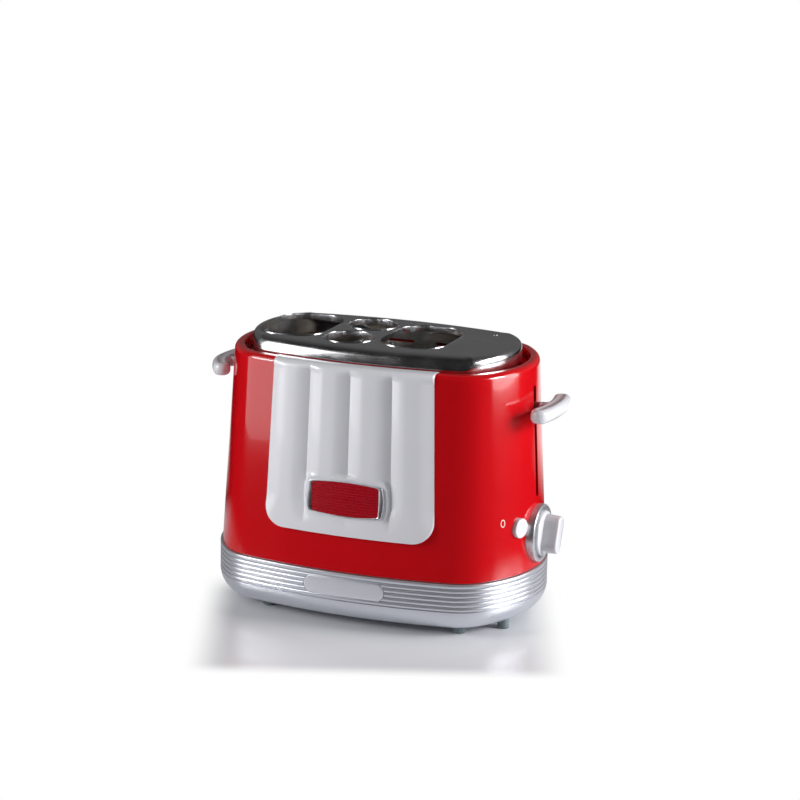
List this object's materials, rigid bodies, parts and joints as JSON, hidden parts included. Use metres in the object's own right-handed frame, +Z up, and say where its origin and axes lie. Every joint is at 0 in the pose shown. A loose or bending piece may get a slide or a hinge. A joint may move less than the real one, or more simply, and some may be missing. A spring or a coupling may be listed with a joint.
{
  "type": "hot dog toaster",
  "caption": "Oval countertop toaster with long bun slots, round sausage wells, sprung side levers, a timer dial, a stop button and a crumb tray.",
  "frame": {"origin": "on the surface the toaster stands on, under the middle of its bounding box", "axes": "+X to the end with the dial and the stop button, -Y to the front with the fluted panel, +Z up"},
  "size_m": [0.275, 0.1642, 0.2018],
  "materials": {
    "painted_shell": "glossy red",
    "front_panel": "glossy white, fluted",
    "base": "silver metallic paint on moulding",
    "top_plate": "polished",
    "badge_frame": "polished",
    "badge_insert": "fine reeded red",
    "foot": "matt grey",
    "sheet_steel": "galvanised sheet",
    "wire": "drawn wire",
    "rod": "ground",
    "reflector": "bright sheet",
    "mica": "mica sheet",
    "ribbon": "oxidised resistance ribbon",
    "lever": "glossy white",
    "dial": "glossy white",
    "bezel": "satin silver paint",
    "button": "glossy white",
    "control_plastic": "black moulding",
    "circuit_board": "green laminate",
    "copper_winding": "enamelled copper",
    "core": "soft iron",
    "tray_sheet": "plain sheet",
    "gland": "black",
    "screw": "zinc plated"
  },
  "bodies": {
    "appliance": {"base_housing": "base", "base_badge_plate": "base", "feet": "foot", "base_screws": "screw", "body_shell": "painted_shell", "front_panel": "front_panel", "panel_badge_frame": "badge_frame", "panel_badge_insert": "badge_insert", "top_plate": "top_plate", "plate_rivet": "screw", "oven_end_left": "sheet_steel", "oven_end_right": "sheet_steel", "chassis_floor": "sheet_steel", "front_reflector": "reflector", "rear_reflector": "reflector", "bun_guard_left": "wire", "bun_guard_right": "wire", "guide_rod_right": "rod", "guide_rod_left": "rod", "return_spring": "wire", "magnet_core": "core", "magnet_coil": "copper_winding", "dial_bezel": "bezel", "timer_body": "control_plastic", "stop_switch": "control_plastic", "control_board": "circuit_board", "control_bracket": "sheet_steel", "cord_gland": "gland", "terminal_block": "control_plastic", "heater_board_outer_left": "mica", "heater_winding_outer_left": "ribbon", "heater_board_inner_left": "mica", "heater_winding_inner_left": "ribbon", "heater_board_inner_right": "mica", "heater_winding_inner_right": "ribbon", "heater_board_outer_right": "mica", "heater_winding_outer_right": "ribbon"},
    "bun_lift": {"bun_carriage_bracket": "sheet_steel", "bun_racks": "wire", "armature_plate": "core", "bun_lever_knob": "lever"},
    "sausage_lift": {"sausage_lift_bracket": "sheet_steel", "sausage_baskets": "wire", "sausage_lever_knob": "lever"},
    "timer_dial": {"dial_knob": "dial", "dial_shaft": "rod"},
    "stop_key": {"stop_button": "button"},
    "tray": {"crumb_tray": "tray_sheet", "crumb_tray_front": "base"}
  },
  "joints": [
    {"name": "bun_lever", "type": "slide", "parent": "appliance", "child": "bun_lift", "axis": [0, 0, -1], "range_m": [0, 0.06], "stiffness_N_per_m": 90, "springref_m": -0.03, "deforming": ["return_spring"]},
    {"name": "sausage_lever", "type": "slide", "parent": "appliance", "child": "sausage_lift", "axis": [0, 0, -1], "range_m": [0, 0.055]},
    {"name": "dial", "type": "hinge", "parent": "appliance", "child": "timer_dial", "pos_m": [0.124, 0, 0.0655], "axis": [1, 0, 0], "range_deg": [-113, 157]},
    {"name": "stop_press", "type": "slide", "parent": "appliance", "child": "stop_key", "axis": [-0.9483, 0.3173, 0], "range_m": [0, 0.002], "stiffness_N_per_m": 600, "springref_m": -0.002},
    {"name": "tray_slide", "type": "slide", "parent": "appliance", "child": "tray", "axis": [0, 1, 0], "range_m": [0, 0.11]}
  ]
}
